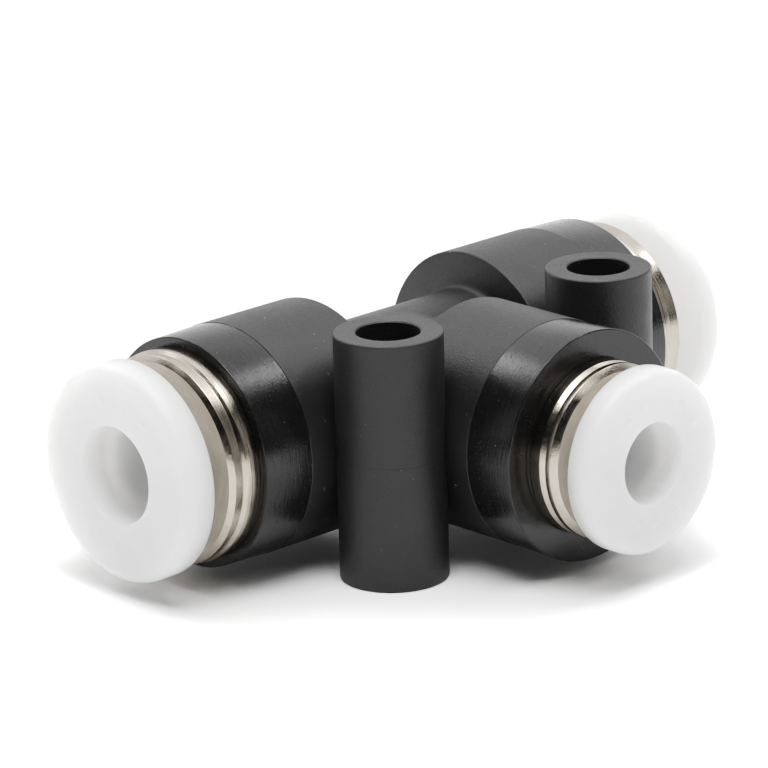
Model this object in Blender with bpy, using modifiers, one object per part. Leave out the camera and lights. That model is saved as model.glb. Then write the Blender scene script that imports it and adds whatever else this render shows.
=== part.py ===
"""Push-in union tee for pneumatic tube: a moulded body with two mounting bosses and three push-in cartridges.

The run lies along X, the branch points to -Y, and the two bosses stand on Z = 0. Every cartridge is modelled
along its own port's axis, under an empty at the junction of the three axes whose +Z points out of the port.
"""

import math
from typing import NamedTuple

import bpy
from mathutils import Matrix, Vector

MM = 0.001

# Body
AXIS_HEIGHT = 6.40 * MM
NECK_RADIUS = 4.05 * MM
NECK_FILLET = 0.40 * MM
EDGE_CHAMFER = 0.12 * MM
TEXTURE_STEP = 0.04 * MM
SEAT_WALL = 1.20 * MM
TUBE_STOP = 3.20 * MM
PASSAGE_RADIUS = 1.50 * MM
TUBE_SEAT_CLEARANCE = 0.07 * MM
CUTTER_OVERRUN = 1.0 * MM

# Mounting bosses, in the two inner corners of the tee
BOSS_ACROSS = 7.41 * MM
BOSS_FROM_RUN = 7.56 * MM
BOSS_RADIUS = 2.73 * MM
BOSS_HEIGHT = 12.70 * MM
BOSS_HOLE_RADIUS = 1.60 * MM
BOSS_CHAMFER = 0.10 * MM

# Cartridge pieces, the same in every port
GAP = 0.30 * MM
SLEEVE_WALL = 0.48 * MM
SLEEVE_CLEARANCE = 0.25 * MM
BEAD_HEIGHT = 0.40 * MM
BEAD_LENGTH = 0.80 * MM
LIP_LENGTH = 2.60 * MM
HEAD_ROUND = 0.60 * MM
MOUTH_CHAMFER = 0.20 * MM
GROOVE_DEPTH = 0.15 * MM
SEAL_LENGTH = 1.60 * MM
BACK_RING_LENGTH = 1.30 * MM
CLAW_SHEET = 0.25 * MM
CLAW_RIM_WIDTH = 0.60 * MM
CLAW_SLOPE = math.radians(35)
NOSE_CLEARANCE = 0.10 * MM
CLAW_SLOT = 0.35 * MM
CLAW_SLOT_BARS = 4
RELEASE_SLOT = 0.60 * MM
RELEASE_SLOT_BARS = 2

VISIBLE_SEGMENTS = 32
HIDDEN_SEGMENTS = 20
BODY_SEGMENTS = 40
BOSS_SEGMENTS = 24
SHARP_ANGLE = math.radians(30)


class Port(NamedTuple):
    """One port size. Stations are distances from the junction along the port's axis.

    The guide ring's flange has a rear band of flange_radius, a groove between two stations, a front land, and a
    bevel from bevel_rear down to the edge of its flat face.
    """

    tube_radius: float
    bore_radius: float
    arm_radius: float
    arm_end_radius: float
    arm_rear: float
    arm_polish: float
    arm_end: float
    shank_radius: float
    flange_radius: float
    groove_rear: float
    groove_front: float
    land_radius: float
    bevel_rear: float
    face_radius: float
    flange_front: float
    head_radius: float
    head_rear: float
    head_front: float
    stroke: float

    @property
    def seat(self):
        return self.arm_rear + SEAT_WALL

    @property
    def socket_radius(self):
        return self.shank_radius + GAP

    @property
    def sleeve_radius(self):
        return self.bore_radius + SLEEVE_WALL

    @property
    def seal_front(self):
        return self.seat + GAP + SEAL_LENGTH

    @property
    def back_ring_front(self):
        return self.seal_front + GAP + BACK_RING_LENGTH

    @property
    def claw_rear(self):
        return self.back_ring_front + GAP

    @property
    def shank_end(self):
        return self.claw_rear + CLAW_SHEET + GAP


# A 3/16 in tube in the run and a 5/32 in tube in the branch
RUN = Port(
    tube_radius=2.38 * MM,
    bore_radius=2.48 * MM,
    arm_radius=5.98 * MM,
    arm_end_radius=5.89 * MM,
    arm_rear=5.44 * MM,
    arm_polish=11.23 * MM,
    arm_end=14.16 * MM,
    shank_radius=4.60 * MM,
    flange_radius=5.43 * MM,
    groove_rear=15.03 * MM,
    groove_front=15.60 * MM,
    land_radius=5.36 * MM,
    bevel_rear=15.75 * MM,
    face_radius=5.10 * MM,
    flange_front=15.98 * MM,
    head_radius=5.53 * MM,
    head_rear=17.25 * MM,
    head_front=18.95 * MM,
    stroke=1.0 * MM,
)
BRANCH = Port(
    tube_radius=1.985 * MM,
    bore_radius=2.06 * MM,
    arm_radius=5.84 * MM,
    arm_end_radius=5.90 * MM,
    arm_rear=5.58 * MM,
    arm_polish=11.25 * MM,
    arm_end=14.23 * MM,
    shank_radius=3.93 * MM,
    flange_radius=4.47 * MM,
    groove_rear=14.90 * MM,
    groove_front=15.28 * MM,
    land_radius=4.44 * MM,
    bevel_rear=15.60 * MM,
    face_radius=4.13 * MM,
    flange_front=15.87 * MM,
    head_radius=4.68 * MM,
    head_rear=17.00 * MM,
    head_front=18.45 * MM,
    stroke=1.0 * MM,
)

# The origin is under the middle of the whole fitting, on the plane that the bosses stand on
JUNCTION = Vector((0, (BRANCH.head_front - RUN.arm_radius) / 2, AXIS_HEIGHT))
PORTS = {
    "run_left": (RUN, Vector((-1, 0, 0))),
    "run_right": (RUN, Vector((1, 0, 0))),
    "branch": (BRANCH, Vector((0, -1, 0))),
}


def clear_scene():
    for obj in list(bpy.data.objects):
        bpy.data.objects.remove(obj, do_unlink=True)


def make_collection(name):
    collection = bpy.data.collections.new(name)
    bpy.context.scene.collection.children.link(collection)
    return collection


def make_material(name, colour, roughness, metallic=0.0):
    material = bpy.data.materials.new(name)
    material.use_nodes = True
    shader = material.node_tree.nodes["Principled BSDF"]
    shader.inputs["Base Color"].default_value = (*colour, 1)
    shader.inputs["Roughness"].default_value = roughness
    shader.inputs["Metallic"].default_value = metallic
    return material


def arc(centre, radius, start, end, steps):
    """Points of a circular arc in a half section, ends included; angles in degrees from the radial direction."""
    angles = [math.radians(start + (end - start) * step / steps) for step in range(steps + 1)]
    return [(centre[0] + radius * math.cos(a), centre[1] + radius * math.sin(a)) for a in angles]


def turned(name, half_section, segments, collection, placement, closed=True):
    """A turned piece: the half section's (radius, station) points run down the outside and back up the bore."""
    mesh = bpy.data.meshes.new(name)
    points = [(radius, 0, station) for radius, station in half_section]
    edges = [(i, i + 1) for i in range(len(points) - 1)]
    if closed:
        edges.append((len(points) - 1, 0))
    mesh.from_pydata(points, edges, [])
    piece = bpy.data.objects.new(name, mesh)
    collection.objects.link(piece)
    piece.matrix_world = placement
    screw = piece.modifiers.new("turn", "SCREW")
    screw.axis = "Z"
    screw.angle = math.tau
    screw.steps = segments
    screw.render_steps = segments
    screw.use_merge_vertices = True
    screw.merge_threshold = 0.001 * MM
    return piece


def bar(name, size, centre, collection, placement):
    """A box used as a slot cutter, placed in the port's own axes."""
    bpy.ops.mesh.primitive_cube_add(size=1)
    piece = bpy.context.object
    piece.name = name
    for owner in list(piece.users_collection):
        owner.objects.unlink(piece)
    collection.objects.link(piece)
    piece.data.transform(Matrix.Diagonal((*size, 1)))
    piece.matrix_world = placement @ Matrix.Translation(centre)
    return piece


def make_cutter(piece):
    piece.hide_render = True
    piece.display_type = "WIRE"
    return piece


def combine(piece, tool, operation):
    modifier = piece.modifiers.new(tool.name, "BOOLEAN")
    modifier.operation = operation
    modifier.solver = "EXACT"
    modifier.object = make_cutter(tool)


def finish_piece(piece, material):
    """Applies the modifiers, gives the piece its material and shades its round faces smooth."""
    graph = bpy.context.evaluated_depsgraph_get()
    mesh = bpy.data.meshes.new_from_object(piece.evaluated_get(graph))
    piece.modifiers.clear()
    piece.data = mesh
    mesh.name = piece.name
    mesh.materials.clear()
    mesh.materials.append(material)
    mesh.shade_smooth()
    mesh.set_sharp_from_angle(angle=SHARP_ANGLE)


def port_placement(direction):
    """The port's axes: origin at the junction, +Z out of the port, +Y up in the fitting."""
    up = Vector((0, 0, 1))
    axes = Matrix((up.cross(direction), up, direction)).transposed()
    return Matrix.Translation(JUNCTION) @ axes.to_4x4()


def arm_outline(port):
    """The outside of one arm, from its end face on the axis down to the neck."""
    chamfer = EDGE_CHAMFER
    fillet = arc(
        (NECK_RADIUS + NECK_FILLET, port.arm_rear - NECK_FILLET), NECK_FILLET, 90, 180, 3
    )
    return [
        (0, port.arm_end),
        (port.arm_end_radius - chamfer, port.arm_end),
        (port.arm_end_radius, port.arm_end - chamfer),
        (port.arm_radius - TEXTURE_STEP, port.arm_polish + TEXTURE_STEP),
        (port.arm_radius, port.arm_polish),
        (port.arm_radius, port.arm_rear + chamfer),
        (port.arm_radius - chamfer, port.arm_rear),
        *fillet,
    ]


def bore_outline(port):
    """The stepped bore of one arm, from outside its mouth down to the passage."""
    tube_seat = port.tube_radius + TUBE_SEAT_CLEARANCE
    return [
        (port.socket_radius, port.arm_end + CUTTER_OVERRUN),
        (port.socket_radius, port.seat),
        (tube_seat, port.seat),
        (tube_seat, TUBE_STOP),
        (PASSAGE_RADIUS, TUBE_STOP),
    ]


def mirrored(outline):
    return [(radius, -station) for radius, station in reversed(outline)]


def make_body(parts, cutters, material):
    """The run turned in one piece, the branch arm and the bosses joined to it, then every bore cut."""
    run_axes = port_placement(Vector((1, 0, 0)))
    branch_axes = port_placement(Vector((0, -1, 0)))
    run_outline = arm_outline(RUN)
    branch_outline = [*arm_outline(BRANCH), (NECK_RADIUS, 0), (0, 0)]
    run_bore = [(0, RUN.arm_end + CUTTER_OVERRUN), *bore_outline(RUN)]
    branch_bore = [(0, BRANCH.arm_end + CUTTER_OVERRUN), *bore_outline(BRANCH), (PASSAGE_RADIUS, 0), (0, 0)]

    body = turned(
        "tee_body", [*run_outline, *mirrored(run_outline)], BODY_SEGMENTS, parts, run_axes, closed=False
    )
    combine(
        body, turned("branch_arm", branch_outline, BODY_SEGMENTS, cutters, branch_axes, closed=False), "UNION"
    )
    for side in (-1, 1):
        combine(body, make_boss(side, cutters), "UNION")
    combine(
        body,
        turned("run_bore", [*run_bore, *mirrored(run_bore)], BODY_SEGMENTS, cutters, run_axes, closed=False),
        "DIFFERENCE",
    )
    combine(
        body,
        turned("branch_bore", branch_bore, BODY_SEGMENTS, cutters, branch_axes, closed=False),
        "DIFFERENCE",
    )
    for side in (-1, 1):
        combine(body, make_boss_hole(side, cutters), "DIFFERENCE")
    finish_piece(body, material)


def boss_placement(side):
    return Matrix.Translation((side * BOSS_ACROSS, JUNCTION.y - BOSS_FROM_RUN, 0))


def make_boss(side, collection):
    outline = [
        (0, BOSS_HEIGHT),
        (BOSS_RADIUS - BOSS_CHAMFER, BOSS_HEIGHT),
        (BOSS_RADIUS, BOSS_HEIGHT - BOSS_CHAMFER),
        (BOSS_RADIUS, BOSS_CHAMFER),
        (BOSS_RADIUS - BOSS_CHAMFER, 0),
        (0, 0),
    ]
    return turned(f"boss_{side}", outline, BOSS_SEGMENTS, collection, boss_placement(side), closed=False)


def make_boss_hole(side, collection):
    outline = [
        (0, BOSS_HEIGHT + CUTTER_OVERRUN),
        (BOSS_HOLE_RADIUS, BOSS_HEIGHT + CUTTER_OVERRUN),
        (BOSS_HOLE_RADIUS, -CUTTER_OVERRUN),
        (0, -CUTTER_OVERRUN),
    ]
    return turned(
        f"boss_hole_{side}", outline, BOSS_SEGMENTS, collection, boss_placement(side), closed=False
    )


def release_ring_section(port):
    """Rounded head, thin sleeve with a snap bead behind the guide ring's lip, and a tapered nose."""
    bore = port.bore_radius
    head = port.head_radius
    sleeve = port.sleeve_radius
    bead_front = port.flange_front - LIP_LENGTH - GAP
    nose_radius = bore + SLEEVE_WALL / 3
    nose = claw_rear_at(port, nose_radius) + CLAW_SHEET + NOSE_CLEARANCE + port.stroke
    return [
        (bore + MOUTH_CHAMFER, port.head_front),
        *arc((head - HEAD_ROUND, port.head_front - HEAD_ROUND), HEAD_ROUND, 90, 0, 3),
        (head, port.head_rear + EDGE_CHAMFER),
        (head - EDGE_CHAMFER, port.head_rear),
        (sleeve, port.head_rear),
        (sleeve, bead_front),
        (sleeve + BEAD_HEIGHT, bead_front),
        (sleeve, bead_front - BEAD_LENGTH),
        (sleeve, nose + SLEEVE_WALL),
        (nose_radius, nose),
        (bore, nose),
        (bore, port.head_front - MOUTH_CHAMFER),
    ]


def guide_ring_section(port):
    """Grooved flange outside the body, barbed shank in the body's socket, and an inner lip in front of a pocket."""
    outer = port.flange_radius
    shank = port.shank_radius
    lip = port.sleeve_radius + SLEEVE_CLEARANCE
    pocket = port.sleeve_radius + BEAD_HEIGHT + SLEEVE_CLEARANCE
    front = port.flange_front
    rear = port.arm_end + GAP
    chamfer = EDGE_CHAMFER / 2
    barb = GAP / 2
    barb_stations = [port.arm_end - 1.0 * MM, port.arm_end - 1.8 * MM]
    barbs = [
        point
        for station in barb_stations
        for point in ((shank, station), (shank + barb, station), (shank, station - 2 * barb))
    ]
    return [
        (lip + chamfer, front),
        (port.face_radius, front),
        (port.land_radius, port.bevel_rear),
        (port.land_radius, port.groove_front),
        (outer - GROOVE_DEPTH, port.groove_rear + GROOVE_DEPTH),
        (outer, port.groove_rear),
        (outer, rear),
        (shank, rear),
        *barbs,
        (shank, port.shank_end),
        (pocket, port.shank_end),
        (pocket, front - LIP_LENGTH),
        (lip, front - LIP_LENGTH),
        (lip, front - chamfer),
    ]


def claw_rear_at(port, radius):
    """The station of the claws' back face at a radius: they slope inwards and away from the mouth."""
    reach = port.shank_radius - CLAW_RIM_WIDTH - radius
    return port.claw_rear - reach * math.tan(CLAW_SLOPE)


def lock_claws_section(port):
    """A thin spring ring: a flat rim, and claws that slope inwards and away from the mouth."""
    rim = port.shank_radius
    root = rim - CLAW_RIM_WIDTH
    tip = port.tube_radius
    tip_rear = claw_rear_at(port, tip)
    rear = port.claw_rear
    front = rear + CLAW_SHEET
    return [
        (rim, front),
        (rim, rear),
        (root, rear),
        (tip, tip_rear),
        (tip, tip_rear + CLAW_SHEET),
        (root, front),
    ]


def back_ring_section(port):
    """A ring behind the claws: its cone leaves them room to bend, and its flat back holds the seal."""
    rear = port.seal_front + GAP
    front = port.back_ring_front
    bore = port.tube_radius + GAP
    cone_depth = BACK_RING_LENGTH - GAP
    mouth = port.shank_radius - CLAW_RIM_WIDTH
    return [
        (port.shank_radius, front),
        (port.shank_radius, rear),
        (bore, rear),
        (bore, front - cone_depth),
        (mouth, front),
    ]


def seal_section(port):
    """A rubber sleeve with one lip that leans into the tube and away from the mouth."""
    outer = port.shank_radius
    front = port.seal_front
    rear = port.seat + GAP
    lip = port.tube_radius - 0.12 * MM
    web = (outer + lip) / 2
    return [
        (outer, front),
        (outer, rear),
        (web + 0.25 * MM, rear),
        (web, rear + 0.55 * MM),
        (lip + 0.30 * MM, rear + 0.10 * MM),
        (lip, rear + 0.30 * MM),
        (lip + 0.45 * MM, front),
    ]


def cut_slots(piece, port, bars, width, low, high, cutters, placement):
    """Cuts 2 * bars slots through a ring's wall: each bar crosses the whole ring, between two stations."""
    length = 2 * port.shank_radius - 2 * CLAW_RIM_WIDTH + 0.2 * MM
    for index in range(bars):
        turn = Matrix.Rotation(math.pi * index / bars, 4, "Z")
        slot = bar(
            f"{piece.name}_slot_{index}",
            (length, width, high - low),
            (0, 0, (low + high) / 2),
            cutters,
            placement @ turn,
        )
        combine(piece, slot, "DIFFERENCE")


def make_port(name, port, direction, parts, cutters, materials):
    """The five pieces of one push-in cartridge, from the mouth inwards."""
    placement = port_placement(direction)
    axis = bpy.data.objects.new(f"{name}_axis", None)
    parts.objects.link(axis)
    axis.matrix_world = placement
    axis.empty_display_size = port.arm_end

    sections = {
        "release_ring": (release_ring_section, VISIBLE_SEGMENTS, "white_acetal"),
        "guide_ring": (guide_ring_section, VISIBLE_SEGMENTS, "nickel_plate"),
        "lock_claws": (lock_claws_section, HIDDEN_SEGMENTS, "spring_steel"),
        "back_ring": (back_ring_section, HIDDEN_SEGMENTS, "brass"),
        "seal": (seal_section, HIDDEN_SEGMENTS, "seal_rubber"),
    }
    for kind, (section, segments, material) in sections.items():
        piece = turned(f"{name}_{kind}", section(port), segments, parts, placement)
        if kind == "release_ring":
            low = port.claw_rear
            high = port.flange_front - LIP_LENGTH + GAP
            cut_slots(piece, port, RELEASE_SLOT_BARS, RELEASE_SLOT, low, high, cutters, placement)
        if kind == "lock_claws":
            low = claw_rear_at(port, port.tube_radius) - CLAW_SHEET
            high = port.claw_rear + 2 * CLAW_SHEET
            cut_slots(piece, port, CLAW_SLOT_BARS, CLAW_SLOT, low, high, cutters, placement)
        finish_piece(piece, materials[material])
        piece.parent = axis
        piece.matrix_parent_inverse = placement.inverted()


def main():
    clear_scene()
    parts = make_collection("push_in_union_tee")
    cutters = make_collection("cutters")
    materials = {
        "black_polyester": make_material("black_polyester", (0.028, 0.028, 0.030), 0.45),
        "white_acetal": make_material("white_acetal", (0.78, 0.79, 0.79), 0.35),
        "nickel_plate": make_material("nickel_plate", (0.66, 0.61, 0.54), 0.18, metallic=1.0),
        "spring_steel": make_material("spring_steel", (0.60, 0.60, 0.61), 0.25, metallic=1.0),
        "brass": make_material("brass", (0.72, 0.55, 0.28), 0.28, metallic=1.0),
        "seal_rubber": make_material("seal_rubber", (0.02, 0.02, 0.02), 0.60),
    }
    make_body(parts, cutters, materials["black_polyester"])
    for name, (port, direction) in PORTS.items():
        make_port(name, port, direction, parts, cutters, materials)


main()
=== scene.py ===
"""Looks for a push-in union tee: a black moulded body and three cartridges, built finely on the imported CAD.

Every cartridge piece is turned about its port's axis. Stations are distances along a port from the junction
of the three axes. They and the radii come from the boxes of the CAD nodes where those show them. Lengths are
in metres.
"""

import math
from typing import NamedTuple

import bmesh
import bpy
import numpy as np
from mathutils import Matrix, Vector


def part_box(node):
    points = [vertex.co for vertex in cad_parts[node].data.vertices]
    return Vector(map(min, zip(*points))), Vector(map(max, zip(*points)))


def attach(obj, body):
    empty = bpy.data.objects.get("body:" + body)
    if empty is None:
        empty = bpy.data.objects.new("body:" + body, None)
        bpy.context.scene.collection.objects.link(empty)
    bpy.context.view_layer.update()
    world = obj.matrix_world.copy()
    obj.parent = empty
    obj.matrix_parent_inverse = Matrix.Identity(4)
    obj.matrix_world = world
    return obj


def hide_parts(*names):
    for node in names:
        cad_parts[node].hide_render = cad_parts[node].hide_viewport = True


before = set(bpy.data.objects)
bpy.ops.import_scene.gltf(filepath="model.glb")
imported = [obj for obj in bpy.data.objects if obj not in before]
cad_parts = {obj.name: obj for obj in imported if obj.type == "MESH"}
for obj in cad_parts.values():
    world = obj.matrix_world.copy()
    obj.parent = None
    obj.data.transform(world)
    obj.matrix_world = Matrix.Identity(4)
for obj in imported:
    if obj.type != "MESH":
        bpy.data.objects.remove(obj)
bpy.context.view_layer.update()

MM = 0.001
X_AXIS = Vector((1, 0, 0))
Y_AXIS = Vector((0, 1, 0))
Z_AXIS = Vector((0, 0, 1))

# Body
NECK_RADIUS = 4.05 * MM
NECK_FILLET = 0.40 * MM
ARM_EDGE = 0.12 * MM
RIM_EDGE = 0.07 * MM
TEXTURE_STEP = 0.024 * MM
SEAT_WALL = 1.20 * MM
TUBE_STOP = 3.20 * MM
PASSAGE_RADIUS = 1.50 * MM
TUBE_SEAT_CLEARANCE = 0.07 * MM
CUTTER_OVERRUN = 1.0 * MM
PARTING_RIDGE = 0.018 * MM
PARTING_WIDTH = 0.10 * MM

# Mounting bosses
BOSS_ACROSS = 7.41 * MM
BOSS_FROM_RUN = 7.56 * MM
BOSS_RADIUS = 2.73 * MM
BOSS_HOLE_RADIUS = 1.60 * MM
BOSS_EDGE = 0.10 * MM
BOSS_HOLE_FLARE = 0.06 * MM

# Cartridge pieces
GAP = 0.30 * MM
SLEEVE_WALL = 0.48 * MM
SLEEVE_CLEARANCE = 0.25 * MM
BEAD_HEIGHT = 0.40 * MM
BEAD_LENGTH = 0.80 * MM
LIP_LENGTH = 2.60 * MM
HEAD_ROUND = 0.60 * MM
MOUTH_ROUND = 0.16 * MM
HEAD_EDGE = 0.08 * MM
PIP_RADIUS = 0.34 * MM
PIP_HEIGHT = 0.095 * MM
PIP_SLOPE = 0.65
PIPS_ABOVE = (28, 53, 78, 102, 127, 152)
PIPS_BELOW = (246, 270, 294)
FLANGE_EDGE = 0.045 * MM
SHOULDER_STEP = 0.05 * MM
SHOULDER_GAP = 0.03 * MM
CLAW_SHEET = 0.25 * MM
CLAW_RIM_WIDTH = 0.60 * MM
CLAW_SLOPE = math.radians(35)
CLAW_SLOT = 0.35 * MM
CLAW_SLOT_BARS = 4
RELEASE_SLOT = 0.60 * MM
RELEASE_SLOT_BARS = 2
SLOT_OVERRUN = 0.2 * MM
BARB_STATIONS = (1.0 * MM, 1.8 * MM)

# Fineness of the meshes
ROUND_SEGMENTS = 256
HEAD_SEGMENTS = 320
HIDDEN_SEGMENTS = 96
BOSS_SEGMENTS = 160
FACE_RINGS = 56
SHARP_ANGLE = math.radians(30)
NORMAL_WEIGHT = 80

# Materials: the _HEIGHTs are relief, and the acetal turns translucent between two stations in millimetres,
# where it also passes from the sleeve's painted light to the head's own tint
POLYESTER_IOR = 1.56
POLISHED_IOR = 1.47
POLYESTER_DARK = 0.008
POLYESTER_LIGHT = 0.012
DUST_GREY = 0.22
DUST_ON_POLISH_GREY = 0.20
GRAIN_HEIGHT = 0.019 * MM
STREAK_HEIGHT = 0.012 * MM
DENT_HEIGHT = 0.007 * MM
ACETAL_DARK = (0.812, 0.815, 0.815, 1.0)
ACETAL_LIGHT = (0.842, 0.844, 0.843, 1.0)
# The sleeve's near white is painted light: it brightens the shaded bore lining as if light shone through the
# head
ACETAL_SLEEVE_PAINTED_LIGHT = (0.99, 0.988, 0.982, 1.0)
ACETAL_DEPTH = 9.0 * MM
ACETAL_HEIGHT = 0.0035 * MM
CLEAR_FROM = 15.9
CLEAR_TO = 17.3

# Metals: dark and light tint, lowest and highest roughness, and the height of the turning marks
NICKEL = ((0.38, 0.341, 0.289, 1), (0.46, 0.416, 0.357, 1), 0.14, 0.27, 0.0055 * MM)
STEEL = ((0.50, 0.50, 0.51, 1), (0.62, 0.62, 0.62, 1), 0.18, 0.32, 0.001 * MM)
BRASS = ((0.64, 0.45, 0.20, 1), (0.74, 0.56, 0.29, 1), 0.20, 0.36, 0.002 * MM)

# Camera
CAMERA_AZIMUTH = math.radians(-43.069)
CAMERA_ELEVATION = math.radians(17.756)
CAMERA_ROLL = math.radians(-1.658)
CAMERA_DISTANCE = 245.313 * MM
CAMERA_AIM = Vector((-0.024, 0.735, 0.018)) * MM
SENSOR_WIDTH = 36
FOCAL_LENGTH = 222.82

# Light: the backdrop, the floor, and the (name, place, size, radiance) of each soft panel for make_lamp.
# A panel at LEVEL_ABOVE or higher hangs level. The backdrop fades between each pair of direction components.
BACKDROP = 1.52
BACKDROP_TURN = 0.09
BACKDROP_SIDES = (0.22, 0.55)
BACKDROP_TOP = (0.68, 0.84)
FLOOR_WHITE = 1.01
FLOOR_GLOW = 0.022
FLOOR_HALF = 2.5
LEVEL_ABOVE = 0.65
LAMPS = (
    ("ceiling", (0.0, 0.26, 0.70), (1.40, 0.80), 1.42),
    ("key", (0.0, -0.26, 0.69), (0.49, 0.35), 10.1),
    ("key_edge", (0.0, 0.05, 0.69), (0.49, 0.385), 2.5),
    ("right_behind", (0.52, 0.20, 0.69), (0.27, 0.29), 5.6),
    ("left_behind", (-0.56, 0.465, 0.69), (0.245, 0.30), 4.8),
    ("left_front", (-0.52, -0.37, 0.69), (0.34, 0.35), 0.25),
    ("right_front", (0.52, -0.37, 0.69), (0.34, 0.35), 2.0),
    ("right_low", (0.75, 0.0, 0.27), (0.4, 0.4), 0.55),
    ("left_low", (-0.75, 0.0, 0.27), (0.4, 0.4), 0.70),
)

# Camera response: the brightness shown as white, and (brightness, shown brightness) between black and it
WHITE_POINT = 1.65
COMBINED_CURVE = 3
TONE_CURVE = ((0.045, 0.028), (0.13, 0.109), (0.27, 0.270), (0.62, 0.530), (1.15, 0.760), (1.38, 0.832))


class Port(NamedTuple):
    """One port: its axes, what the CAD boxes say about it, and the radii that a box doesn't show."""

    name: str
    button: str
    placement: Matrix
    arm_radius: float
    arm_end_radius: float
    arm_rear: float
    arm_polish: float
    arm_end: float
    tube_radius: float
    bore_radius: float
    flange_front: float
    flange: tuple
    shank_radius: float
    shank_end: float
    head_radius: float
    head_rear: float
    head_front: float
    nose: float
    claw_rear: float
    claw_front: float
    back_ring: tuple
    seal: tuple


def junction():
    """Where the three port axes meet."""
    run_low, run_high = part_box("run_left_release_ring")
    branch_low, branch_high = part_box("branch_release_ring")
    middle = (run_low + run_high) / 2
    return Vector(((branch_low.x + branch_high.x) / 2, middle.y, middle.z))


JUNCTION = junction()


def port_placement(direction):
    """The port's axes: origin at the junction, +Z out of the port, +Y up."""
    axes = Matrix((Z_AXIS.cross(direction), Z_AXIS, direction)).transposed()
    return Matrix.Translation(JUNCTION) @ axes.to_4x4()


def stations(node, direction):
    """The nearest and the farthest station of a CAD node along a port's axis."""
    return sorted((corner - JUNCTION).dot(direction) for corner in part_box(node))


def radius_of(node):
    """Half the height of a CAD node that is round about a level axis."""
    low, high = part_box(node)
    return (high.z - low.z) / 2


def read_port(name, button, direction, sizes):
    """Reads a port from its CAD nodes; sizes are what their boxes don't show."""
    shank_end, flange_front = stations(f"{name}_guide_ring", direction)
    nose, head_front = stations(f"{name}_release_ring", direction)
    _, claw_front = stations(f"{name}_lock_claws", direction)
    return Port(
        name=name,
        button=button,
        placement=port_placement(direction),
        arm_end=stations("tee_body", direction)[1],
        flange_front=flange_front,
        shank_radius=radius_of(f"{name}_lock_claws"),
        shank_end=shank_end,
        head_radius=radius_of(f"{name}_release_ring"),
        head_front=head_front,
        nose=nose,
        claw_rear=claw_front - CLAW_SHEET,
        claw_front=claw_front,
        back_ring=tuple(stations(f"{name}_back_ring", direction)),
        seal=tuple(stations(f"{name}_seal", direction)),
        **sizes,
    )


RUN_SIZES = {
    "arm_radius": 5.98 * MM,
    "arm_end_radius": 5.89 * MM,
    "arm_rear": 5.44 * MM,
    "arm_polish": 11.23 * MM,
    "tube_radius": 2.38 * MM,
    "bore_radius": 2.48 * MM,
    "flange": (
        (5.10, 15.98), (5.36, 15.75), (5.28, 15.18), (5.43, 15.03), (5.44, 14.76), (5.425, 14.74),
        (5.425, 14.36),
    ),
    "head_rear": 17.25 * MM,
}
BRANCH_SIZES = {
    "arm_radius": 5.84 * MM,
    "arm_end_radius": 5.90 * MM,
    "arm_rear": 5.58 * MM,
    "arm_polish": 11.25 * MM,
    "tube_radius": 1.985 * MM,
    "bore_radius": 2.06 * MM,
    "flange": ((4.13, 15.87), (4.44, 15.60), (4.435, 15.28), (4.28, 15.16), (4.45, 14.91), (4.47, 14.47)),
    "head_rear": 17.00 * MM,
}
RUN_LEFT = read_port("run_left", "run_left_button", -X_AXIS, RUN_SIZES)
RUN_RIGHT = read_port("run_right", "run_right_button", X_AXIS, RUN_SIZES)
BRANCH = read_port("branch", "branch_button", -Y_AXIS, BRANCH_SIZES)
PORTS = (RUN_LEFT, RUN_RIGHT, BRANCH)


# Outlines

def rounded(outline, closed=True, steps=5):
    """The (radius, station) points of an outline whose (radius, station, fillet) corners become arcs."""
    points = []
    count = len(outline)
    for index, (radius, station, fillet) in enumerate(outline):
        corner = Vector((radius, station))
        if not fillet or (not closed and index in (0, count - 1)):
            points.append(tuple(corner))
            continue
        before = (Vector(outline[index - 1][:2]) - corner).normalized()
        after = (Vector(outline[(index + 1) % count][:2]) - corner).normalized()
        half = before.angle(after) / 2
        centre = corner + (before + after).normalized() * fillet / math.sin(half)
        first = corner + before * fillet / math.tan(half) - centre
        last = corner + after * fillet / math.tan(half) - centre
        turn = math.atan2(first.x * last.y - first.y * last.x, first.dot(last))
        for step in range(steps + 1):
            spun = Matrix.Rotation(turn * step / steps, 2) @ first
            points.append(tuple(centre + spun))
    return points


def arc(centre, radius, start, end, steps):
    """Points of a circular arc in a half section, ends included; degrees from the radial direction."""
    angles = [math.radians(start + (end - start) * step / steps) for step in range(steps + 1)]
    return [(centre[0] + radius * math.cos(a), centre[1] + radius * math.sin(a)) for a in angles]


# Meshes

def new_piece(name, vertices, faces):
    mesh = bpy.data.meshes.new(name)
    mesh.from_pydata([tuple(v) for v in vertices], [], faces)
    mesh.validate()
    piece = bpy.data.objects.new(name, mesh)
    bpy.context.scene.collection.objects.link(piece)
    return piece


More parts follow.
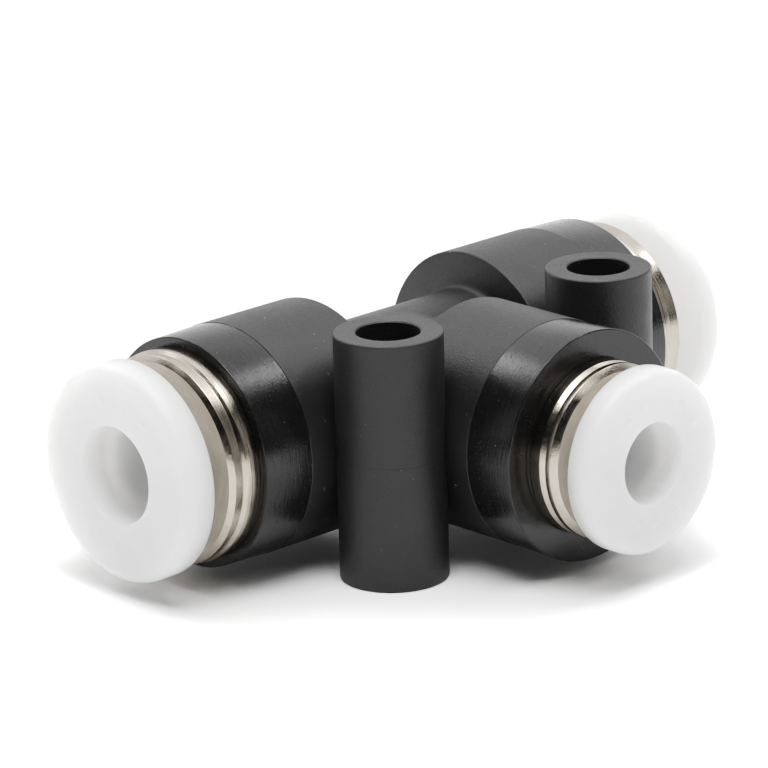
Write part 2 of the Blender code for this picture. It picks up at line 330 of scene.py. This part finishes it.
def turned(name, outline, segments, placement, closed=True, reshape=None):
    """A solid of revolution in the row frame. An open outline starts and ends on the axis.

    The outline runs down the outside and, if closed, back up the bore. reshape changes the points while they
    are still in the port's own coordinates.
    """
    if not closed:
        outline = outline[1:-1] if outline[0][0] == 0 and outline[-1][0] == 0 else outline
    profile = np.array(outline)
    angles = np.linspace(0, math.tau, segments, endpoint=False)
    around = np.stack([np.cos(angles), np.sin(angles)], axis=1)
    rings = np.zeros((segments, len(profile), 3))
    rings[:, :, :2] = around[:, None, :] * profile[None, :, :1]
    rings[:, :, 2] = profile[None, :, 1]
    count = len(profile)
    spans = count if closed else count - 1
    faces = []
    for turn in range(segments):
        after = (turn + 1) % segments
        for span in range(spans):
            further = (span + 1) % count
            faces.append((
                turn * count + span,
                turn * count + further,
                after * count + further,
                after * count + span,
            ))
    if not closed:
        faces.append(tuple(turn * count for turn in range(segments)))
        faces.append(tuple(turn * count + count - 1 for turn in reversed(range(segments))))
    points = rings.reshape(-1, 3)
    if reshape:
        points = reshape(points)
    matrix = np.array(placement)
    piece = new_piece(name, points @ matrix[:3, :3].T + matrix[:3, 3], faces)
    face_outwards(piece.data)
    return piece


def face_outwards(mesh):
    work = bmesh.new()
    work.from_mesh(mesh)
    bmesh.ops.recalc_face_normals(work, faces=work.faces)
    work.to_mesh(mesh)
    work.free()


def bar(name, size, centre, placement):
    """A box for cutting a slot, in the port's axes."""
    signs = [(x, y, z) for x in (-0.5, 0.5) for y in (-0.5, 0.5) for z in (-0.5, 0.5)]
    corners = [
        placement @ Vector([centre[axis] + sign[axis] * size[axis] for axis in range(3)]) for sign in signs
    ]
    faces = [(0, 1, 3, 2), (4, 6, 7, 5), (0, 4, 5, 1), (2, 3, 7, 6), (0, 2, 6, 4), (1, 5, 7, 3)]
    piece = new_piece(name, corners, faces)
    face_outwards(piece.data)
    return piece


def combine(piece, steps):
    """Runs (operation, tool) Booleans on a piece one after another and removes the tools."""
    for operation, tool in steps:
        modifier = piece.modifiers.new(tool.name, "BOOLEAN")
        modifier.operation = operation
        modifier.solver = "EXACT"
        modifier.object = tool
    graph = bpy.context.evaluated_depsgraph_get()
    mesh = bpy.data.meshes.new_from_object(piece.evaluated_get(graph))
    piece.modifiers.clear()
    piece.data = mesh
    mesh.name = piece.name
    for _, tool in steps:
        bpy.data.objects.remove(tool)
    return piece


def shade(piece):
    """Smooth shading that keeps flat faces flat and edges crisp."""
    piece.data.shade_smooth()
    piece.data.set_sharp_from_angle(angle=SHARP_ANGLE)
    modifier = piece.modifiers.new("weighted_normals", "WEIGHTED_NORMAL")
    modifier.keep_sharp = True
    modifier.weight = NORMAL_WEIGHT


def store_port_space(piece, placement):
    """Keeps each point's place in its port's axes, in millimetres, for the turning marks in the materials."""
    mesh = piece.data
    points = np.zeros(len(mesh.vertices) * 3)
    mesh.vertices.foreach_get("co", points)
    inverse = np.array(placement.inverted())
    local = points.reshape(-1, 3) @ inverse[:3, :3].T + inverse[:3, 3]
    attribute = mesh.attributes.new("port_space", "FLOAT_VECTOR", "POINT")
    attribute.data.foreach_set("vector", (local / MM).astype(np.float32).ravel())


# Node materials

def wire(tree, node, values):
    """Links each socket among the values to a node's input, and sets the input where the value is plain."""
    for key, value in values.items():
        if isinstance(value, bpy.types.NodeSocket):
            tree.links.new(value, node.inputs[key])
        else:
            node.inputs[key].default_value = value


def add_node(tree, kind, inputs=None, **settings):
    made = tree.nodes.new(kind)
    for key, value in settings.items():
        setattr(made, key, value)
    wire(tree, made, inputs or {})
    return made


def new_material(name):
    """A new node material, with its tree and its Principled BSDF."""
    material = bpy.data.materials.new(name)
    material.use_nodes = True
    tree = material.node_tree
    return material, tree, tree.nodes["Principled BSDF"]


def millimetres(tree):
    """The row frame's coordinates, in millimetres."""
    return stretched(tree, add_node(tree, "ShaderNodeTexCoord").outputs["Object"], (1 / MM,) * 3)


def port_space(tree):
    """The stored place in the port's axes, in millimetres."""
    return add_node(tree, "ShaderNodeAttribute", attribute_name="port_space").outputs["Vector"]


def stretched(tree, place, scale):
    return add_node(tree, "ShaderNodeVectorMath", {0: place, 1: scale}, operation="MULTIPLY").outputs[0]


def noise(tree, place, scale, detail, roughness):
    inputs = {"Vector": place, "Scale": scale, "Detail": detail, "Roughness": roughness}
    return add_node(tree, "ShaderNodeTexNoise", inputs).outputs["Fac"]


def math_node(tree, operation, first, second=0.0):
    return add_node(tree, "ShaderNodeMath", {0: first, 1: second}, operation=operation).outputs[0]


def remap(tree, value, low, high, to_low, to_high, smooth=False):
    inputs = {"Value": value, "From Min": low, "From Max": high, "To Min": to_low, "To Max": to_high}
    kind = "SMOOTHSTEP" if smooth else "LINEAR"
    return add_node(tree, "ShaderNodeMapRange", inputs, interpolation_type=kind).outputs["Result"]


def blend_colour(tree, factor, first, second):
    """A mix of two colours. The node has sockets for other types too: its colours are 6, 7 and output 2."""
    return add_node(tree, "ShaderNodeMix", {0: factor, 6: first, 7: second}, data_type="RGBA").outputs[2]


def bump(tree, height, distance, normal=None):
    inputs = {"Height": height, "Distance": distance, "Strength": 1.0}
    if normal:
        inputs["Normal"] = normal
    return add_node(tree, "ShaderNodeBump", inputs).outputs["Normal"]


def turned_place(tree, place):
    """Coordinates that change fast across turning marks and slowly along them, on flanks and faces alike."""
    split = add_node(tree, "ShaderNodeSeparateXYZ", {0: place})
    flat = add_node(tree, "ShaderNodeCombineXYZ", {0: split.outputs[0], 1: split.outputs[1]})
    radius = add_node(tree, "ShaderNodeVectorMath", {0: flat.outputs[0]}, operation="LENGTH").outputs["Value"]
    across = math_node(tree, "ADD", math_node(tree, "MULTIPLY", radius, 1.7), split.outputs[2])
    slow = stretched(tree, flat.outputs[0], (0.35, 0.35, 0.0))
    lifted = add_node(tree, "ShaderNodeCombineXYZ", {2: across})
    return add_node(tree, "ShaderNodeVectorMath", {0: slow, 1: lifted.outputs[0]}, operation="ADD").outputs[0]


def grey(value):
    return (value, value, value, 1.0)


def scratches(tree, place):
    """A few short thin marks, as a factor from 0 to 1."""
    patches = noise(tree, stretched(tree, place, (7.0, 2.2, 0.9)), 1.0, 1.0, 0.5)
    return remap(tree, patches, 0.79, 0.83, 0.0, 1.0, smooth=True)


def dust(tree, place):
    """Sparse pale specks, as a factor from 0 to 1."""
    return remap(tree, noise(tree, place, 9.0, 1.0, 0.5), 0.785, 0.82, 0.0, 1.0, smooth=True)


def black_textured():
    """Moulded polyester: the fine matt grain of an eroded tool, a little dust and a few light scratches."""
    material, tree, shader = new_material("black_polyester_textured")
    place = millimetres(tree)
    grain = noise(tree, place, 7.5, 3.0, 0.6)
    fine = noise(tree, place, 19.0, 2.0, 0.5)
    cloud = noise(tree, place, 0.45, 3.0, 0.55)
    specks = math_node(tree, "MAXIMUM", dust(tree, place), scratches(tree, place))
    mottle = remap(tree, cloud, 0.3, 0.7, 0.0, 1.0)
    tone = blend_colour(tree, mottle, grey(POLYESTER_DARK), grey(POLYESTER_LIGHT))
    rough = remap(tree, math_node(tree, "ADD", grain, cloud), 0.7, 1.3, 0.44, 0.57)
    height = math_node(tree, "ADD", grain, math_node(tree, "MULTIPLY", fine, 0.6))
    wire(tree, shader, {
        "Base Color": blend_colour(tree, specks, tone, grey(DUST_GREY)),
        "Roughness": rough,
        "IOR": POLYESTER_IOR,
        "Normal": bump(tree, height, GRAIN_HEIGHT),
    })
    return material


def black_polished(name, axis):
    """The smooth bands at the arm ends: fine streaks round the arm, a speckle of tiny dents and some dust."""
    material, tree, shader = new_material(name)
    place = millimetres(tree)
    along = tuple(10.0 if index == axis else 0.8 for index in range(3))
    streaks = noise(tree, stretched(tree, place, along), 1.0, 3.0, 0.65)
    speckle = noise(tree, place, 9.0, 2.0, 0.6)
    wire(tree, shader, {
        "Base Color": blend_colour(tree, dust(tree, place), grey(POLYESTER_DARK), grey(DUST_ON_POLISH_GREY)),
        "Roughness": remap(tree, math_node(tree, "ADD", streaks, speckle), 0.80, 1.25, 0.08, 0.28),
        "IOR": POLISHED_IOR,
        "Normal": bump(tree, speckle, DENT_HEIGHT, bump(tree, streaks, STREAK_HEIGHT)),
    })
    return material


def white_acetal():
    """Natural acetal with a faint mottle: the thick head is translucent, the sleeve inside the ring isn't.
    The sleeve is painted near white, as painted light that brightens the bore as if light came through the
    head.
    """
    material, tree, shader = new_material("white_acetal")
    place = port_space(tree)
    station = add_node(tree, "ShaderNodeSeparateXYZ", {0: place}).outputs[2]
    cloud = noise(tree, place, 0.8, 3.0, 0.5)
    grain = noise(tree, place, 5.0, 3.0, 0.55)
    tone = blend_colour(tree, remap(tree, cloud, 0.3, 0.7, 0.0, 1.0), ACETAL_DARK, ACETAL_LIGHT)
    head = remap(tree, station, CLEAR_FROM, CLEAR_TO, 0.0, 1.0, smooth=True)
    mottle = math_node(tree, "ADD", cloud, grain)
    wire(tree, shader, {
        # Inside the ring the colour is painted light in the bore; the head keeps its own mottled tint
        "Base Color": blend_colour(tree, head, ACETAL_SLEEVE_PAINTED_LIGHT, tone),
        "Roughness": remap(tree, mottle, 0.7, 1.3, 0.30, 0.44),
        "Normal": bump(tree, mottle, ACETAL_HEIGHT),
        "Subsurface Weight": head,
        "Subsurface Radius": (1.0, 0.97, 0.93),
        "Subsurface Scale": ACETAL_DEPTH,
        "Specular IOR Level": 0.35,
    })
    return material


def turned_metal(name, dark, light, rough_low, rough_high, mark_depth):
    """Turned metal: marks round the axis in the gloss and the relief, tiny pits, and a slight tint change."""
    material, tree, shader = new_material(name)
    place = port_space(tree)
    lathe_place = turned_place(tree, place)
    marks = noise(tree, lathe_place, 17.0, 3.0, 0.65)
    wide_marks = noise(tree, lathe_place, 4.0, 2.0, 0.5)
    cloud = noise(tree, place, 0.9, 3.0, 0.55)
    pits = noise(tree, place, 18.0, 2.0, 0.6)
    tint = remap(tree, math_node(tree, "ADD", cloud, wide_marks), 0.7, 1.3, 0.0, 1.0)
    rough = remap(tree, math_node(tree, "ADD", marks, cloud), 0.7, 1.3, rough_low, rough_high)
    height = math_node(tree, "ADD", marks, math_node(tree, "MULTIPLY", pits, 0.4))
    wire(tree, shader, {
        "Base Color": blend_colour(tree, tint, dark, light),
        "Metallic": 1.0,
        "Roughness": rough,
        "Normal": bump(tree, height, mark_depth),
    })
    return material


def seal_rubber():
    """Nitrile rubber: near black, with a fine uneven skin."""
    material, tree, shader = new_material("seal_rubber")
    place = port_space(tree)
    cloud = noise(tree, place, 1.5, 3.0, 0.55)
    grain = noise(tree, place, 8.0, 3.0, 0.6)
    wire(tree, shader, {
        "Base Color": blend_colour(tree, cloud, grey(0.012), grey(0.028)),
        "Roughness": remap(tree, grain, 0.3, 0.7, 0.55, 0.75),
        "Normal": bump(tree, grain, 0.005 * MM),
    })
    return material


# Body

def arm_outline(port):
    """The outside of one arm, from its end face down to the neck, edges rounded."""
    return rounded(
        [
            (0, port.arm_end, 0),
            (port.arm_end_radius, port.arm_end, RIM_EDGE),
            (port.arm_radius - TEXTURE_STEP, port.arm_polish + TEXTURE_STEP, 0),
            (port.arm_radius, port.arm_polish, 0),
            (port.arm_radius, port.arm_rear, ARM_EDGE),
            (NECK_RADIUS, port.arm_rear, NECK_FILLET),
            (NECK_RADIUS, 0, 0),
        ],
        closed=False,
    )


def bore_outline(port):
    """The stepped bore of one arm, from outside its mouth down to the passage."""
    socket = port.shank_radius + GAP
    seat = port.arm_rear + SEAT_WALL
    tube_seat = port.tube_radius + TUBE_SEAT_CLEARANCE
    return [
        (socket, port.arm_end + CUTTER_OVERRUN),
        (socket, seat),
        (tube_seat, seat),
        (tube_seat, TUBE_STOP),
        (PASSAGE_RADIUS, TUBE_STOP),
    ]


def mirrored(outline):
    """An outline's other half, for the opposite port."""
    return [(radius, -station) for radius, station in reversed(outline)]


def parting_ridge(port_rear, port_polish):
    """Lifts the moulding line on both flanks of an arm, in its textured stretch only."""
    polish_start = port_polish + TEXTURE_STEP / 2

    def lift(points):
        radius = np.hypot(points[:, 0], points[:, 1])
        station = np.abs(points[:, 2])
        flank = np.abs(points[:, 1]) < PARTING_WIDTH / 2
        outside = (radius > NECK_RADIUS) & (station > port_rear) & (station <= polish_start)
        grown = np.where(flank & outside, 1 + PARTING_RIDGE / np.maximum(radius, MM), 1)
        points[:, :2] *= grown[:, None]
        return points

    return lift


def boss_placement(side):
    """A boss's axes: origin at its foot, +Z up. side is -1 or 1."""
    return Matrix.Translation((side * BOSS_ACROSS, JUNCTION.y - BOSS_FROM_RUN, 0))


def make_boss(side, top):
    """One mounting boss, with the moulding line round its middle."""
    half = PARTING_WIDTH / 2
    outline = rounded(
        [
            (0, top, 0),
            (BOSS_RADIUS, top, BOSS_EDGE),
            (BOSS_RADIUS, JUNCTION.z + half, 0),
            (BOSS_RADIUS + PARTING_RIDGE, JUNCTION.z, 0),
            (BOSS_RADIUS, JUNCTION.z - half, 0),
            (BOSS_RADIUS, 0, BOSS_EDGE),
            (0, 0, 0),
        ],
        closed=False,
    )
    return turned(f"boss_{side}", outline, BOSS_SEGMENTS, boss_placement(side), closed=False)


def make_boss_hole(side, top):
    """The tool for one screw hole, flared slightly at both faces."""
    flared = BOSS_HOLE_RADIUS + BOSS_HOLE_FLARE + CUTTER_OVERRUN
    outline = [
        (0, top + CUTTER_OVERRUN),
        (flared, top + CUTTER_OVERRUN),
        (BOSS_HOLE_RADIUS, top - BOSS_HOLE_FLARE),
        (BOSS_HOLE_RADIUS, BOSS_HOLE_FLARE),
        (flared, -CUTTER_OVERRUN),
        (0, -CUTTER_OVERRUN),
    ]
    return turned(f"boss_hole_{side}", outline, BOSS_SEGMENTS, boss_placement(side), closed=False)


def make_body(textured, polished_run, polished_branch):
    """The one moulding: two arms in line, the branch arm, two bosses, and every bore and screw hole."""
    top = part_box("tee_body")[1].z
    run_arm = arm_outline(RUN_RIGHT)[:-1]
    branch_arm = [*arm_outline(BRANCH), (0, 0)]
    run_bore = [(0, RUN_RIGHT.arm_end + CUTTER_OVERRUN), *bore_outline(RUN_RIGHT)]
    branch_bore = [(0, BRANCH.arm_end + CUTTER_OVERRUN), *bore_outline(BRANCH), (PASSAGE_RADIUS, 0), (0, 0)]
    body = turned(
        "tee_body_detail",
        [*run_arm, *mirrored(run_arm)],
        ROUND_SEGMENTS,
        RUN_RIGHT.placement,
        closed=False,
        reshape=parting_ridge(RUN_RIGHT.arm_rear, RUN_RIGHT.arm_polish),
    )
    branch = turned(
        "branch_arm",
        branch_arm,
        ROUND_SEGMENTS,
        BRANCH.placement,
        closed=False,
        reshape=parting_ridge(BRANCH.arm_rear, BRANCH.arm_polish),
    )
    run_tool = turned(
        "run_bore", [*run_bore, *mirrored(run_bore)], ROUND_SEGMENTS, RUN_RIGHT.placement, closed=False
    )
    branch_tool = turned("branch_bore", branch_bore, ROUND_SEGMENTS, BRANCH.placement, closed=False)
    combine(body, [
        ("UNION", branch),
        ("UNION", make_boss(-1, top)),
        ("UNION", make_boss(1, top)),
        ("DIFFERENCE", run_tool),
        ("DIFFERENCE", branch_tool),
        ("DIFFERENCE", make_boss_hole(-1, top)),
        ("DIFFERENCE", make_boss_hole(1, top)),
    ])
    paint_body(body, (textured, polished_run, polished_branch))
    shade(body)
    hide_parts("tee_body")
    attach(body, "fitting_body")


def paint_body(body, materials):
    """The arm ends outside the texture step are polished, end faces included; the rest keeps its grain."""
    mesh = body.data
    mesh.materials.clear()
    for material in materials:
        mesh.materials.append(material)
    margin = TEXTURE_STEP / 2
    for face in mesh.polygons:
        place = face.center - JUNCTION
        if abs(place.x) > RUN_RIGHT.arm_polish + margin:
            face.material_index = 1
        elif -place.y > BRANCH.arm_polish + margin:
            face.material_index = 2
        else:
            face.material_index = 0


# Cartridges

def release_ring_outline(port):
    """Rounded head, thin sleeve with a snap bead behind the guide ring's lip, and a tapered nose."""
    bore = port.bore_radius
    head = port.head_radius
    sleeve = bore + SLEEVE_WALL
    bead_front = port.flange_front - LIP_LENGTH - GAP
    face_inner = bore + MOUTH_ROUND
    face_outer = head - HEAD_ROUND
    face = [(radius, port.head_front) for radius in np.linspace(face_inner, face_outer, FACE_RINGS)]
    rim = arc((face_outer, port.head_front - HEAD_ROUND), HEAD_ROUND, 90, 0, 14)[1:]
    behind = rounded(
        [
            (head, port.head_front - HEAD_ROUND, 0),
            (head, port.head_rear, HEAD_EDGE),
            (sleeve, port.head_rear, 0.12 * MM),
            (sleeve, bead_front, 0.04 * MM),
            (sleeve + BEAD_HEIGHT, bead_front, 0.05 * MM),
            (sleeve, bead_front - BEAD_LENGTH, 0),
            (sleeve, port.nose + SLEEVE_WALL, 0.04 * MM),
            (bore + SLEEVE_WALL / 3, port.nose, 0.04 * MM),
            (bore, port.nose, 0.03 * MM),
            (bore, port.head_front - MOUTH_ROUND, 0),
        ],
        closed=False,
        steps=4,
    )[1:]
    mouth = arc((face_inner, port.head_front - MOUTH_ROUND), MOUTH_ROUND, 180, 90, 6)[1:-1]
    return [*face, *rim, *behind, *mouth]


def raised_pips(port):
    """Small round pips on the head's face, in an arc above the bore and in a short row below it."""
    middle = (port.bore_radius + port.head_radius - HEAD_ROUND) / 2 + 0.05 * MM
    turns = [math.radians(turn) for turn in PIPS_ABOVE + PIPS_BELOW]
    centres = [(middle * math.cos(turn), middle * math.sin(turn)) for turn in turns]

    def lift(points):
        on_face = points[:, 2] > port.head_front - 0.001 * MM
        rise = np.zeros(len(points))
        for x, y in centres:
            away = np.hypot(points[:, 0] - x, points[:, 1] - y) / PIP_RADIUS
            rise = np.maximum(rise, np.clip((1 - away) / PIP_SLOPE, 0, 1))
        points[:, 2] += on_face * PIP_HEIGHT * rise * rise * (3 - 2 * rise)
        return points

    return lift


def guide_ring_outline(port):
    """Turned flange outside the body, barbed shank in its socket, and an inner lip in front of a pocket."""
    shank = port.shank_radius
    sleeve = port.bore_radius + SLEEVE_WALL
    lip = sleeve + SLEEVE_CLEARANCE
    pocket = sleeve + BEAD_HEIGHT + SLEEVE_CLEARANCE
    front = port.flange_front
    flange = [(radius * MM, station * MM, FLANGE_EDGE) for radius, station in port.flange]
    barb = GAP / 2
    barbs = [
        point
        for station in (port.arm_end - depth for depth in BARB_STATIONS)
        for point in ((shank, station, 0), (shank + barb, station, 0.02 * MM), (shank, station - GAP, 0))
    ]
    return rounded(
        [
            (lip, front, 0.05 * MM),
            *flange,
            (flange[-1][0] - SHOULDER_STEP, flange[-1][1], 0),
            (flange[-1][0] - SHOULDER_STEP, port.arm_end + SHOULDER_GAP, 0),
            (shank, port.arm_end + SHOULDER_GAP, 0),
            *barbs,
            (shank, port.shank_end, 0.04 * MM),
            (pocket, port.shank_end, 0.04 * MM),
            (pocket, front - LIP_LENGTH, 0),
            (lip, front - LIP_LENGTH, 0.03 * MM),
        ],
        steps=4,
    )


def lock_claws_outline(port):
    """A thin spring ring: a flat rim, and claws that slope inwards and away from the mouth."""
    rim = port.shank_radius
    root = rim - CLAW_RIM_WIDTH
    tip = port.tube_radius
    tip_rear = port.claw_rear - (root - tip) * math.tan(CLAW_SLOPE)
    return rounded(
        [
            (rim, port.claw_front, 0.03 * MM),
            (rim, port.claw_rear, 0.03 * MM),
            (root, port.claw_rear, 0.15 * MM),
            (tip, tip_rear, 0.02 * MM),
            (tip, tip_rear + CLAW_SHEET, 0.02 * MM),
            (root, port.claw_front, 0.35 * MM),
        ],
        steps=4,
    )


def back_ring_outline(port):
    """A ring behind the claws: its cone leaves them room to bend, and its flat back holds the seal."""
    rear, front = port.back_ring
    bore = port.tube_radius + GAP
    mouth = port.shank_radius - CLAW_RIM_WIDTH
    return rounded(
        [
            (port.shank_radius, front, 0.05 * MM),
            (port.shank_radius, rear, 0.05 * MM),
            (bore, rear, 0.05 * MM),
            (bore, rear + GAP, 0.05 * MM),
            (mouth, front, 0.04 * MM),
        ],
        steps=4,
    )


def seal_outline(port):
    """A rubber sleeve with one lip that leans into the tube and away from the mouth."""
    rear, front = port.seal
    outer = port.shank_radius
    lip = port.tube_radius - 0.12 * MM
    web = (outer + lip) / 2
    return rounded(
        [
            (outer, front, 0.12 * MM),
            (outer, rear, 0.12 * MM),
            (web + 0.25 * MM, rear, 0.10 * MM),
            (web, rear + 0.55 * MM, 0.08 * MM),
            (lip + 0.30 * MM, rear + 0.10 * MM, 0.06 * MM),
            (lip, rear + 0.30 * MM, 0.05 * MM),
            (lip + 0.45 * MM, front, 0.15 * MM),
        ],
        steps=4,
    )


def slot_tools(name, port, bars, width, low, high):
    """Bars that cut 2 * bars slots through a ring's wall, between two stations."""
    length = 2 * port.shank_radius - 2 * CLAW_RIM_WIDTH + SLOT_OVERRUN
    return [
        ("DIFFERENCE", bar(
            f"{name}_slot_{index}",
            (length, width, high - low),
            (0, 0, (low + high) / 2),
            port.placement @ Matrix.Rotation(math.pi * index / bars, 4, "Z"),
        ))
        for index in range(bars)
    ]


def finish_ring(piece, port, kind, body, material):
    """Materials, shading and the frame's bookkeeping for one cartridge piece."""
    store_port_space(piece, port.placement)
    piece.data.materials.clear()
    piece.data.materials.append(material)
    shade(piece)
    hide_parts(f"{port.name}_{kind}")
    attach(piece, body)


def make_release_ring(port, material):
    name = f"{port.name}_release_ring_detail"
    piece = turned(name, release_ring_outline(port), HEAD_SEGMENTS, port.placement, reshape=raised_pips(port))
    high = port.flange_front - LIP_LENGTH + GAP
    combine(piece, slot_tools(name, port, RELEASE_SLOT_BARS, RELEASE_SLOT, port.claw_rear, high))
    finish_ring(piece, port, "release_ring", port.button, material)


def make_guide_ring(port, material):
    name = f"{port.name}_guide_ring_detail"
    piece = turned(name, guide_ring_outline(port), ROUND_SEGMENTS, port.placement)
    finish_ring(piece, port, "guide_ring", "fitting_body", material)


def make_lock_claws(port, material):
    name = f"{port.name}_lock_claws_detail"
    piece = turned(name, lock_claws_outline(port), HIDDEN_SEGMENTS, port.placement)
    reach = port.shank_radius - CLAW_RIM_WIDTH - port.tube_radius
    low = port.claw_rear - reach * math.tan(CLAW_SLOPE) - CLAW_SHEET
    combine(piece, slot_tools(name, port, CLAW_SLOT_BARS, CLAW_SLOT, low, port.claw_rear + 2 * CLAW_SHEET))
    finish_ring(piece, port, "lock_claws", "fitting_body", material)


def make_plain_ring(port, kind, outline, material):
    piece = turned(f"{port.name}_{kind}_detail", outline(port), HIDDEN_SEGMENTS, port.placement)
    finish_ring(piece, port, kind, "fitting_body", material)


# Stage

def make_floor():
    """A plain pale floor, a little brighter than a real one, so that it washes out to white."""
    material = bpy.data.materials.new("pale_floor")
    material.use_nodes = True
    tree = material.node_tree
    tree.nodes.clear()
    matt = add_node(tree, "ShaderNodeBsdfDiffuse", {"Color": grey(FLOOR_WHITE)})
    glow = add_node(tree, "ShaderNodeEmission", {"Color": grey(1.0), "Strength": FLOOR_GLOW})
    both = add_node(tree, "ShaderNodeAddShader", {0: matt.outputs[0], 1: glow.outputs[0]})
    output = add_node(tree, "ShaderNodeOutputMaterial")
    tree.links.new(both.outputs[0], output.inputs["Surface"])
    corners = [(FLOOR_HALF * x, FLOOR_HALF * y, 0) for x, y in ((-1, -1), (1, -1), (1, 1), (-1, 1))]
    floor = new_piece("floor", corners, [(0, 1, 2, 3)])
    floor.data.materials.append(material)


def camera_axes():
    """The camera's right-hand direction and the direction away from it, both level."""
    return (
        Vector((math.cos(CAMERA_AZIMUTH), math.sin(CAMERA_AZIMUTH), 0)),
        Vector((-math.sin(CAMERA_AZIMUTH), math.cos(CAMERA_AZIMUTH), 0)),
    )


def make_world():
    """A white backdrop behind the fitting, up to about 50 degrees; the room on the camera's side is dark."""
    world = bpy.data.worlds.new("backdrop")
    bpy.context.scene.world = world
    world.use_nodes = True
    tree = world.node_tree
    tree.nodes.clear()
    right, behind = camera_axes()
    direction = add_node(tree, "ShaderNodeTexCoord").outputs["Generated"]
    split = add_node(tree, "ShaderNodeSeparateXYZ", {0: direction})
    level = add_node(tree, "ShaderNodeVectorMath", {0: direction, 1: (1, 1, 0)}, operation="MULTIPLY")
    heading = add_node(tree, "ShaderNodeVectorMath", {0: level.outputs[0]}, operation="NORMALIZE").outputs[0]
    middle = tuple((behind - BACKDROP_TURN * right).normalized())
    towards = add_node(tree, "ShaderNodeVectorMath", {0: heading, 1: middle}, operation="DOT_PRODUCT")
    sides = remap(tree, towards.outputs["Value"], *BACKDROP_SIDES, 0.0, 1.0, smooth=True)
    top = remap(tree, split.outputs[2], *BACKDROP_TOP, 1.0, 0.0, smooth=True)
    strength = math_node(tree, "MULTIPLY", math_node(tree, "MULTIPLY", sides, top), BACKDROP)
    background = add_node(tree, "ShaderNodeBackground", {"Color": (1, 1, 1, 1), "Strength": strength})
    output = add_node(tree, "ShaderNodeOutputWorld")
    tree.links.new(background.outputs[0], output.inputs["Surface"])


def make_lamp(name, place, size, radiance):
    """A soft panel that hangs level overhead, or faces the fitting if it stands low.

    place is to the right, behind and above the junction as the camera sees them, in metres.
    """
    right, behind = camera_axes()
    offset = right * place[0] + behind * place[1] + Z_AXIS * place[2]
    light = bpy.data.lights.new(name, "AREA")
    light.shape = "RECTANGLE"
    light.size, light.size_y = size
    light.energy = radiance * math.pi * size[0] * size[1]
    lamp = bpy.data.objects.new(name, light)
    bpy.context.scene.collection.objects.link(lamp)
    lamp.location = JUNCTION + offset
    if place[2] < LEVEL_ABOVE:
        lamp.rotation_euler = offset.to_track_quat("Z", "Y").to_euler()
    else:
        lamp.rotation_euler = (0, 0, CAMERA_AZIMUTH)


def make_camera():
    """The photograph's viewpoint: low, left of the branch, with a long lens."""
    right, behind = camera_axes()
    back = Z_AXIS * math.sin(CAMERA_ELEVATION) - behind * math.cos(CAMERA_ELEVATION)
    up = back.cross(right)
    across = right * math.cos(CAMERA_ROLL) + up * math.sin(CAMERA_ROLL)
    upward = up * math.cos(CAMERA_ROLL) - right * math.sin(CAMERA_ROLL)
    data = bpy.data.cameras.new("camera")
    data.sensor_width = SENSOR_WIDTH
    data.lens = FOCAL_LENGTH
    data.clip_start = 0.01
    data.clip_end = 20
    camera = bpy.data.objects.new("camera", data)
    bpy.context.scene.collection.objects.link(camera)
    place = JUNCTION + CAMERA_AIM + back * CAMERA_DISTANCE
    turn = Matrix((across, upward, back)).transposed().to_4x4()
    camera.matrix_world = Matrix.Translation(place) @ turn
    bpy.context.scene.camera = camera


def set_tone():
    """The contrast of a camera picture: deeper shadows, and highlights that flatten towards white."""
    view = bpy.context.scene.view_settings
    view.view_transform = "Standard"
    view.use_curve_mapping = True
    view.curve_mapping.white_level = (WHITE_POINT,) * 3
    points = view.curve_mapping.curves[COMBINED_CURVE].points
    for brightness, shown in TONE_CURVE:
        points.new(brightness / WHITE_POINT, shown)
    view.curve_mapping.update()


def main():
    make_camera()
    make_body(
        black_textured(),
        black_polished("black_polyester_polished_run", 0),
        black_polished("black_polyester_polished_branch", 1),
    )
    acetal = white_acetal()
    nickel = turned_metal("nickel_plate", *NICKEL)
    steel = turned_metal("spring_steel", *STEEL)
    brass = turned_metal("brass", *BRASS)
    rubber = seal_rubber()
    for port in PORTS:
        make_release_ring(port, acetal)
        make_guide_ring(port, nickel)
        make_lock_claws(port, steel)
        make_plain_ring(port, "back_ring", back_ring_outline, brass)
        make_plain_ring(port, "seal", seal_outline, rubber)
    make_floor()
    make_world()
    for lamp in LAMPS:
        make_lamp(*lamp)
    set_tone()


main()
